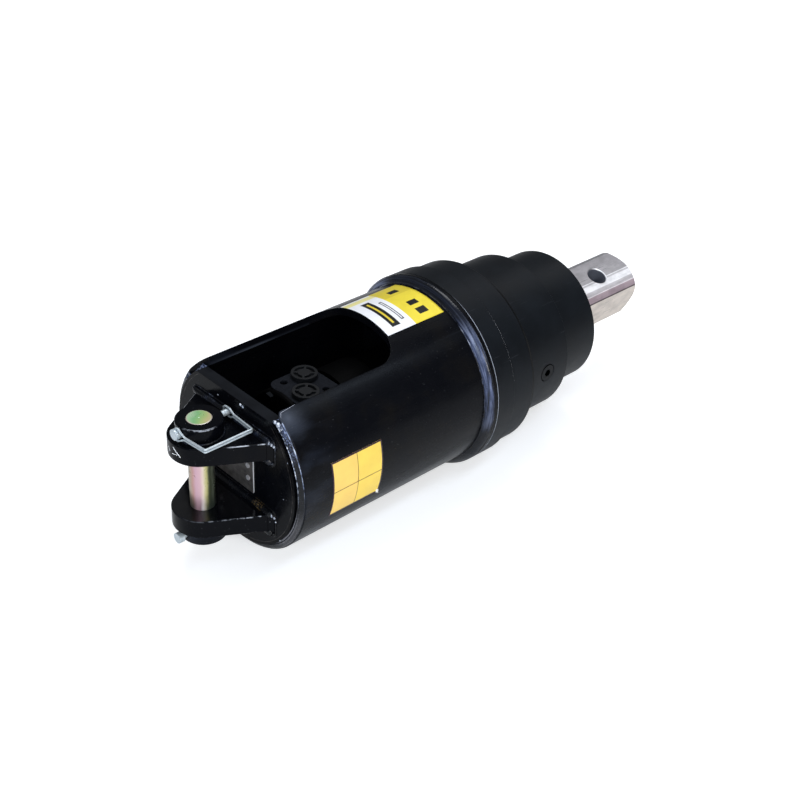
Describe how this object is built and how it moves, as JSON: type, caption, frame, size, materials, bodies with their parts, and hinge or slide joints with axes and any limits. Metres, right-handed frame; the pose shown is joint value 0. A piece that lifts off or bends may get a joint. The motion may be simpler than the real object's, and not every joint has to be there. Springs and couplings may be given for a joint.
{
  "type": "backhoe auger attachment",
  "caption": "Hydraulic auger drive: hitch ears with a pin, slotted tube hood over an orbital motor, stepped planetary gearbox and square output shaft with a cross hole.",
  "frame": {"origin": "where the hitch pin's axis crosses the drive axis", "axes": "+X along the drive axis towards the output shaft, +Z along the hitch pin towards the hood's open side"},
  "size_m": [0.8298, 0.275, 0.275],
  "materials": {
    "black_paint": "semi-gloss black enamel over fabricated steel",
    "case_paint": "satin black paint over turned steel",
    "motor_paint": "black paint over cast iron",
    "yellow_zinc": "yellow chromate zinc plate on turned steel",
    "bright_zinc": "clear zinc plate",
    "plate_aluminium": "bare satin aluminium sheet",
    "black_oxide": "black oxide fasteners",
    "gear_steel": "ground alloy steel, oiled",
    "shaft_steel": "milled bright steel",
    "seal_rubber": "nitrile rubber",
    "cap_plastic": "moulded black dust caps"
  },
  "bodies": {
    "drive": {"hood_tube": "black_paint", "hitch_plate": "black_paint", "plate_weld": "black_paint", "flange_weld": "black_paint", "ear_upper": "black_paint", "ear_lower": "black_paint", "boss_upper": "black_paint", "boss_lower": "black_paint", "ear_welds": "black_paint", "hitch_pin": "yellow_zinc", "lock_pin_lower": "bright_zinc", "lock_clip": "bright_zinc", "name_plate": "plate_aluminium", "name_plate_rivets": "plate_aluminium", "base_ring": "black_paint", "input_housing": "case_paint", "output_housing": "case_paint", "oil_plugs": "black_oxide", "casing_bolts": "black_oxide", "motor_rear_cover": "motor_paint", "motor_valve_housing": "motor_paint", "motor_gerotor_ring": "motor_paint", "motor_front_housing": "motor_paint", "motor_rear_bolts": "black_oxide", "motor_mount_bolts": "black_oxide", "first_ring_gear": "gear_steel", "second_ring_gear": "case_paint", "front_bearing_cup": "gear_steel", "rear_bearing_cup": "gear_steel", "output_seal": "seal_rubber", "port_cap_a": "cap_plastic", "port_cap_b": "cap_plastic"},
    "upper_lock": {"lock_pin_upper": "bright_zinc", "lock_bail": "bright_zinc"},
    "output": {"output_shaft": "shaft_steel", "output_carrier": "gear_steel", "second_planet_pins": "gear_steel", "shaft_nut": "gear_steel", "front_bearing_cone": "gear_steel", "rear_bearing_cone": "gear_steel"},
    "second_planet_1": {"second_planet_1": "gear_steel"},
    "second_planet_2": {"second_planet_2": "gear_steel"},
    "second_planet_3": {"second_planet_3": "gear_steel"},
    "first_carrier": {"first_carrier": "gear_steel", "first_planet_pins": "gear_steel", "second_sun": "gear_steel"},
    "first_planet_1": {"first_planet_1": "gear_steel"},
    "first_planet_2": {"first_planet_2": "gear_steel"},
    "first_planet_3": {"first_planet_3": "gear_steel"},
    "input": {"drive_link": "gear_steel", "first_sun": "gear_steel"},
    "front_rollers": {"front_bearing_rollers": "gear_steel"},
    "rear_rollers": {"rear_bearing_rollers": "gear_steel"}
  },
  "joints": [
    {"name": "output_spin", "type": "hinge", "parent": "drive", "child": "output", "pos_m": [0.6, 0, 0], "axis": [1, 0, 0], "continuous": true},
    {"name": "second_planet_1_spin", "type": "hinge", "parent": "output", "child": "second_planet_1", "pos_m": [0.428, 0, 0.054], "axis": [1, 0, 0], "continuous": true},
    {"name": "second_planet_2_spin", "type": "hinge", "parent": "output", "child": "second_planet_2", "pos_m": [0.428, -0.04677, -0.027], "axis": [1, 0, 0], "continuous": true},
    {"name": "second_planet_3_spin", "type": "hinge", "parent": "output", "child": "second_planet_3", "pos_m": [0.428, 0.04677, -0.027], "axis": [1, 0, 0], "continuous": true},
    {"name": "first_carrier_spin", "type": "hinge", "parent": "drive", "child": "first_carrier", "pos_m": [0.42, 0, 0], "axis": [1, 0, 0], "continuous": true},
    {"name": "first_planet_1_spin", "type": "hinge", "parent": "first_carrier", "child": "first_planet_1", "pos_m": [0.3915, 0, 0.045], "axis": [1, 0, 0], "continuous": true},
    {"name": "first_planet_2_spin", "type": "hinge", "parent": "first_carrier", "child": "first_planet_2", "pos_m": [0.3915, -0.03897, -0.0225], "axis": [1, 0, 0], "continuous": true},
    {"name": "first_planet_3_spin", "type": "hinge", "parent": "first_carrier", "child": "first_planet_3", "pos_m": [0.3915, 0.03897, -0.0225], "axis": [1, 0, 0], "continuous": true},
    {"name": "input_spin", "type": "hinge", "parent": "drive", "child": "input", "pos_m": [0.35, 0, 0], "axis": [1, 0, 0], "continuous": true},
    {"name": "front_rollers_spin", "type": "hinge", "parent": "drive", "child": "front_rollers", "pos_m": [0.588, 0, 0], "axis": [1, 0, 0], "continuous": true},
    {"name": "rear_rollers_spin", "type": "hinge", "parent": "drive", "child": "rear_rollers", "pos_m": [0.528, 0, 0], "axis": [1, 0, 0], "continuous": true},
    {"name": "lock_bail_swing", "type": "hinge", "parent": "drive", "child": "upper_lock", "pos_m": [0, 0, 0.0725], "axis": [-1, 0, 0], "range_deg": [-8, 188]}
  ],
  "couplings": [
    {"joint": "second_planet_1_spin", "follows": "output_spin", "ratio": -2.8},
    {"joint": "second_planet_2_spin", "follows": "output_spin", "ratio": -2.8},
    {"joint": "second_planet_3_spin", "follows": "output_spin", "ratio": -2.8},
    {"joint": "first_carrier_spin", "follows": "output_spin", "ratio": 4.5},
    {"joint": "first_planet_1_spin", "follows": "output_spin", "ratio": -12},
    {"joint": "first_planet_2_spin", "follows": "output_spin", "ratio": -12},
    {"joint": "first_planet_3_spin", "follows": "output_spin", "ratio": -12},
    {"joint": "input_spin", "follows": "output_spin", "ratio": 22.5},
    {"joint": "front_rollers_spin", "follows": "output_spin", "ratio": 0.449},
    {"joint": "rear_rollers_spin", "follows": "output_spin", "ratio": 0.444}
  ]
}
